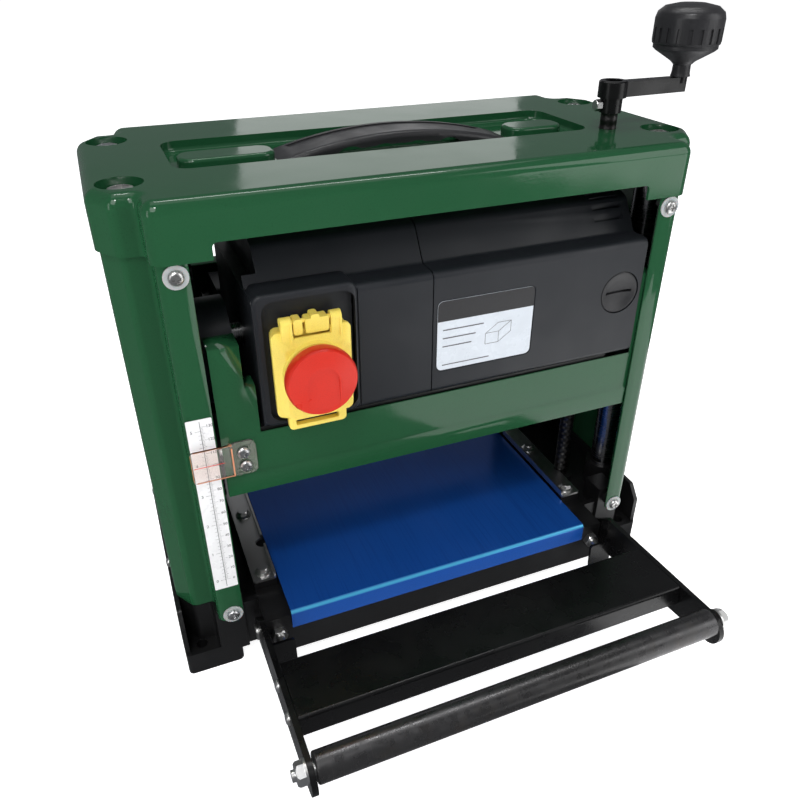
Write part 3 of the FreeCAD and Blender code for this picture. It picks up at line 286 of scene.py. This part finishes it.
def black_rubber():
    finish = Finish("black_rubber", COLOUR["belt_rubber"], 0.7)
    finish.tint(finish.noise(60, 6), shade(COLOUR["belt_rubber"], 2.6), 0.5, 0.75)
    return finish.raise_by(finish.noise(900, 4), 0.0001).material


def ink(name, colour):
    finish = Finish(name, colour, 0.45)
    finish.tint(finish.noise(1500, 2), shade(colour, 1.3), 0.5, 0.7)
    return finish.raise_by(finish.noise(1200, 1), 0.00001).material


def make_finishes():
    charcoal = (0.014, 0.016, 0.020)
    grip = (0.021, 0.021, 0.023)
    return {
        "green_paint": green_enamel(),
        "black_paint": black_powder_coat(),
        "black_cast": black_casting(),
        "blue_film": blue_film(),
        "zinc": zinc_plate(),
        "dark_steel": milled_bar(),
        "column": polished_column(),
        "screw": threaded_screw(),
        "chain": oiled_chain(),
        "bright_steel": ground_steel(),
        "charcoal_plastic": moulded("charcoal_plastic", charcoal, (0.36, 0.5)).material,
        "grip_plastic": moulded("grip_plastic", grip, (0.3, 0.46), 900, 0.00007).material,
        "yellow_plastic": soft_plastic("yellow_plastic", (1.0, 0.79, 0.15), (0.3, 0.42)),
        "red_plastic": soft_plastic("red_plastic", (0.68, 0.026, 0.012), (0.26, 0.38)),
        "start_green": soft_plastic("start_green", COLOUR["start_green"], (0.28, 0.4)),
        "clear_plastic": clear_acrylic(),
        "orange_edge": moulded("orange_edge", (0.66, 0.28, 0.15), (0.15, 0.3)).material,
        "nylon": frosted_nylon(),
        "label_film": printed_film("label_film", (0.66, 0.71, 0.77)),
        "scale_film": printed_film("scale_film", COLOUR["scale_film"]),
        "bronze": sintered_bronze(),
        "belt_rubber": black_rubber(),
        "black_ink": ink("black_ink", (0.02, 0.02, 0.022)),
        "grey_ink": ink("grey_ink", (0.12, 0.12, 0.13)),
        "red_ink": ink("red_ink", (0.75, 0.03, 0.02)),
    }


FINISHES = make_finishes()
SPECIAL_FINISH = {
    "column_front_left": "column", "column_front_right": "column",
    "column_rear_left": "column", "column_rear_right": "column",
    "lead_screw_left": "screw", "lead_screw_right": "screw",
    "height_chain": "chain",
}


def paint_nodes():
    for name, node in NODES.items():
        finish = FINISHES[SPECIAL_FINISH.get(name, SLOT_OF[name])]
        node.data.materials.clear()
        node.data.materials.append(finish)


# ------------------------------------------------------------------ softened edges

# in millimetres; the sheet parts with a radius of 0 have their bends in the CAD
EDGE_RADIUS = {
    "base_casting": 1.2, "bed_plate": 0, "top_cover": 0.5, "side_cover_left": 0,
    "side_cover_right": 0, "front_panel": 0, "rear_panel": 0, "motor_cover_left": 0.7,
    "motor_cover_right": 0.7, "carriage_casting": 1.0, "carry_handle": 0.6, "crank_arm": 0.5,
    "switch_flap": 0.35, "switch_plate": 0.35, "chip_hood": 0.6,
}
DEFAULT_EDGE_RADIUS = 0.25
EDGE_ANGLE = math.radians(38)


def soften_edges():
    """Rounds every CAD edge a little, so that it catches the light as a real one does."""
    for name, node in NODES.items():
        radius = EDGE_RADIUS.get(name, DEFAULT_EDGE_RADIUS) * MM
        weld = node.modifiers.new("weld", "WELD")
        weld.merge_threshold = 0.000002
        if radius > 0:
            bevel = node.modifiers.new("bevel", "BEVEL")
            bevel.width = radius
            bevel.segments = 2
            bevel.limit_method = "ANGLE"
            bevel.angle_limit = EDGE_ANGLE
            bevel.use_clamp_overlap = True
            bevel.face_strength_mode = "FSTR_AFFECTED"
        normals = node.modifiers.new("normals", "WEIGHTED_NORMAL")
        normals.keep_sharp = False
        normals.weight = 50
        normals.use_face_influence = True


# ------------------------------------------------------------------ printed details

PRINT_LIFT = 0.05 * MM


def new_piece(name, mesh, body, finish):
    piece = bpy.data.objects.new(name, mesh)
    bpy.context.scene.collection.objects.link(piece)
    mesh.materials.append(FINISHES[finish])
    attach(piece, body)
    return piece


class Print:
    """Flat ink marks on a face that looks towards -Y."""

    def __init__(self, y):
        self.y = y - PRINT_LIFT
        self.mesh = bmesh.new()

    def patch(self, points):
        self.mesh.faces.new([self.mesh.verts.new((x, self.y, z)) for x, z in points])

    def bar(self, x0, x1, z0, z1):
        self.patch([(x0, z0), (x1, z0), (x1, z1), (x0, z1)])

    def line(self, x0, z0, x1, z1, width):
        along = Vector((x1 - x0, z1 - z0)).normalized() * width / 2
        across = Vector((-along.y, along.x))
        self.patch([(x0 - across.x, z0 - across.y), (x1 - across.x, z1 - across.y),
                    (x1 + across.x, z1 + across.y), (x0 + across.x, z0 + across.y)])

    def number(self, text, x, z, height):
        """A number, centred at x and z."""
        curve = bpy.data.curves.new("number", "FONT")
        curve.body = text
        curve.size = height * 1.4
        curve.align_x = "CENTER"
        curve.align_y = "CENTER"
        holder = bpy.data.objects.new("number", curve)
        flat = bpy.data.meshes.new_from_object(holder)
        for vertex in flat.vertices:
            vertex.co = (x + vertex.co.x, self.y, z + vertex.co.y)
        self.mesh.from_mesh(flat)
        bpy.data.objects.remove(holder)
        bpy.data.curves.remove(curve)
        bpy.data.meshes.remove(flat)

    def finish(self, name, body, slot, finish):
        mesh = bpy.data.meshes.new(name)
        self.mesh.to_mesh(mesh)
        self.mesh.free()
        return new_piece(name, mesh, body, finish)


SCALE_ZERO = 0.0965          # height of the zero marks of both scales


def mark_length(count, long_every, middling_every):
    """A scale mark's length: long at whole units, middling at halves, and short elsewhere."""
    if count % long_every == 0:
        return 3.6 * MM
    return 2.6 * MM if count % middling_every == 0 else 1.7 * MM


def print_scale():
    """Millimetres to the right of the middle line, inches and eighths to the left of it."""
    low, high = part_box("scale_strip")
    middle = low.x + (high.x - low.x) * 0.52
    marks = Print(low.y)
    marks.bar(middle - 0.15 * MM, middle + 0.15 * MM, low.z + 1.5 * MM, high.z - 1.5 * MM)
    for mm in range(131):
        z = SCALE_ZERO + mm * MM
        marks.bar(middle, middle + mark_length(mm, 10, 5), z - 0.07 * MM, z + 0.07 * MM)
        if mm % 10 == 0:
            marks.number(str(mm), (middle + high.x) / 2 + 1.9 * MM, z, 2.1 * MM)
    for eighth in range(41):
        z = SCALE_ZERO + eighth * INCH / 8
        marks.bar(middle - mark_length(eighth, 8, 4), middle, z - 0.09 * MM, z + 0.09 * MM)
        if eighth % 8 == 0:
            marks.number(str(eighth // 8), low.x + 2.6 * MM, z, 2.3 * MM)
    marks.finish("scale_print", "frame", "scale_film", "black_ink")


def print_label():
    """A dark header band and plain rules on the rating label, with a board's outline."""
    low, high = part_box("rating_label")
    width = high.x - low.x
    height = high.z - low.z
    band = Print(low.y)
    band_low = low.z + height * 0.715
    corner = 4 * MM
    arc = [(math.cos(math.radians(a)), math.sin(math.radians(a))) for a in range(0, 91, 15)]
    right = [(high.x - corner + corner * c, high.z - corner + corner * t) for c, t in arc]
    left = [(low.x + corner - corner * c, high.z - corner + corner * t) for c, t in reversed(arc)]
    band.patch([(low.x, band_low), (high.x, band_low), *right, *left])
    band.finish("label_band", "carriage", "label_film", "black_ink")

    rules = Print(low.y)
    for row, share in enumerate((0.42, 0.34, 0.30)):
        z = low.z + height * (0.58 - 0.12 * row)
        rules.bar(low.x + 4 * MM, low.x + 4 * MM + width * share, z, z + 0.9 * MM)
    rules.bar(low.x + 4 * MM, low.x + width * 0.55, low.z + 3.4 * MM, low.z + 4.2 * MM)
    x0, x1 = low.x + width * 0.5, low.x + width * 0.64
    z0, z1 = low.z + height * 0.27, low.z + height * 0.43
    shift_x, shift_z = width * 0.13, height * 0.13
    board = [(x0, z0, x1, z0), (x1, z0, x1, z1), (x1, z1, x0, z1), (x0, z1, x0, z0)]
    board += [(x0, z1, x0 + shift_x, z1 + shift_z), (x1, z1, x1 + shift_x, z1 + shift_z),
              (x1, z0, x1 + shift_x, z0 + shift_z),
              (x0 + shift_x, z1 + shift_z, x1 + shift_x, z1 + shift_z),
              (x1 + shift_x, z0 + shift_z, x1 + shift_x, z1 + shift_z)]
    for ends in board:
        rules.line(*ends, 0.35 * MM)
    rules.finish("label_rules", "carriage", "label_film", "grey_ink")


POINTER_FOLD = -151.5 * MM      # x of the pointer's fold
POINTER_READING = 102 * MM      # what the pointer reads at rest, above the scale's zero


def box_corners(mesh, x0, x1, y0, y1, z0, z1):
    return [mesh.verts.new((x, y, z)) for y in (y0, y1)
            for x, z in ((x0, z0), (x1, z0), (x1, z1), (x0, z1))]


def light_up_pointer():
    """The orange glow that a clear pointer's cut edges and fold gather, and its red reading line."""
    low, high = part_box("depth_pointer")
    edges = bmesh.new()
    front = low.y - 0.03 * MM
    back = low.y + 1.5 * MM
    bottom_edge = (low.x + 2 * MM, POINTER_FOLD, 186.45 * MM, 186.75 * MM)
    top_edge = (low.x + 2 * MM, POINTER_FOLD, 210.25 * MM, high.z)
    left_edge = (low.x - 0.02 * MM, low.x + 0.25 * MM, 188.5 * MM, 208.5 * MM)
    fold = (POINTER_FOLD - 0.9 * MM, POINTER_FOLD + 0.05 * MM, 187 * MM, 208 * MM)
    for x0, x1, z0, z1 in (bottom_edge, top_edge, left_edge, fold):
        corners = box_corners(edges, x0, x1, front, back, z0, z1)
        for face in ((0, 1, 2, 3), (7, 6, 5, 4), (0, 4, 5, 1), (1, 5, 6, 2), (2, 6, 7, 3), (3, 7, 4, 0)):
            edges.faces.new([corners[i] for i in face])
    mesh = bpy.data.meshes.new("pointer_edges")
    edges.to_mesh(mesh)
    edges.free()
    new_piece("pointer_edges", mesh, "carriage", "orange_edge")
    z = SCALE_ZERO + POINTER_READING
    line = Print(low.y)
    line.bar(low.x + 1 * MM, low.x + 21 * MM, z - 0.25 * MM, z + 0.25 * MM)
    line.finish("pointer_hairline", "carriage", "clear_plastic", "red_ink")


# ------------------------------------------------------------------ stage

# the four faces between one square's corners, 0 to 3, and another's, 4 to 7
SQUARE_RING = [(side, (side + 1) % 4, 4 + (side + 1) % 4, 4 + side) for side in range(4)]
FLOOR_REACH = 15
WALL_REACH = 14
WALL_HEIGHT = 20


def stage_piece(name, points, faces, finish):
    mesh = bpy.data.meshes.new(name)
    mesh.from_pydata(points, [], faces)
    mesh.materials.append(finish.material)
    piece = bpy.data.objects.new(name, mesh)
    bpy.context.scene.collection.objects.link(piece)
    return piece


def white_paper(name, glow):
    finish = Finish(name, (0.92, 0.92, 0.92), 0.6, Emission_Strength=glow)
    finish.shader.inputs["Emission Color"].default_value = (1.0, 1.0, 1.0, 1)
    finish.tint(finish.noise(1.5, 3), (0.90, 0.90, 0.91), 0.4, 0.7)
    finish.raise_by(finish.noise(400, 2), 0.00002)
    return finish


def make_floor():
    """White paper; only the part near the machine is bright enough to show in its paint."""
    paper = white_paper("floor_paper", 0.9)
    near = [(0.1, -0.7, 0), (0.6, -0.7, 0), (0.6, 0.2, 0), (0.12, -0.2, 0)]
    far = [(x * FLOOR_REACH, y * FLOOR_REACH, 0) for x, y in ((-1, -1), (1, -1), (1, 1), (-1, 1))]
    stage_piece("near_floor", near, [(0, 1, 2, 3)], paper)
    stage_piece("far_floor", far + near, SQUARE_RING, paper).visible_glossy = False


def make_backdrop():
    """A white wall round the floor's far edge, which the camera sees but which lights nothing."""
    corners = [(1, 1), (1, -1), (-1, -1), (-1, 1)]
    points = [(x * WALL_REACH, y * WALL_REACH, z) for z in (0, WALL_HEIGHT) for x, y in corners]
    wall = stage_piece("backdrop", points, SQUARE_RING, white_paper("backdrop_paper", 1.0))
    wall.visible_diffuse = False
    wall.visible_glossy = False
    wall.visible_shadow = False


def softbox(name, place, target, width, height, brightness):
    """A soft light of so many watts a square metre for each steradian, facing the target."""
    light = bpy.data.lights.new(name, "AREA")
    light.shape = "RECTANGLE"
    light.size = width
    light.size_y = height
    light.energy = brightness * math.pi * width * height
    holder = bpy.data.objects.new(name, light)
    holder.location = place
    aim = Vector(target) - Vector(place)
    holder.rotation_euler = aim.to_track_quat("-Z", "Y").to_euler()
    holder.visible_camera = False
    bpy.context.scene.collection.objects.link(holder)


MIDDLE = (0.0, 0.0, 0.2)        # of the machine
# name, place, what it faces, width, height, brightness
SOFTBOXES = [
    ("key", (-1.3, -1.7, 2.3), MIDDLE, 1.6, 1.6, 3.2),
    ("fill", (1.9, -1.5, 1.3), MIDDLE, 1.4, 1.8, 2.1),
    ("overhead", (0.1, 0.3, 2.6), MIDDLE, 2.4, 1.6, 0.8),
    ("back", (1.05, 2.85, 1.1), (0.0, 0.0, 0.37), 1.3, 0.9, 0.7),
    ("side", (-2.4, -0.9, 0.7), MIDDLE, 0.5, 1.8, 2.2),
    ("low", (1.3, -1.3, 0.12), (0.1, -0.1, 0.3), 1.0, 0.45, 2.0),
    ("strip", (0.3, 0.5, 2.3), MIDDLE, 1.4, 0.12, 14.0),
    ("lamp", (-0.5, -1.1, 2.2), MIDDLE, 0.22, 0.22, 55.0),
]


def light_studio():
    world = bpy.data.worlds.new("studio")
    world.use_nodes = True
    sky = world.node_tree.nodes["Background"]
    sky.inputs["Color"].default_value = (0.93, 0.95, 1.0, 1)
    sky.inputs["Strength"].default_value = 0.16
    bpy.context.scene.world = world
    for light in SOFTBOXES:
        softbox(*light)


def set_camera():
    camera = bpy.data.cameras.new("camera")
    camera.lens = 33.543
    camera.sensor_width = 36
    camera.clip_end = 100
    holder = bpy.data.objects.new("camera", camera)
    holder.location = (-0.1975, -0.5036, 0.4836)
    holder.rotation_euler = [math.radians(angle) for angle in (58.31, 0.13, -22.08)]
    bpy.context.scene.collection.objects.link(holder)
    bpy.context.scene.camera = holder


paint_nodes()
soften_edges()
print_scale()
print_label()
light_up_pointer()
make_floor()
make_backdrop()
light_studio()
set_camera()
bpy.context.scene.view_settings.view_transform = "Standard"
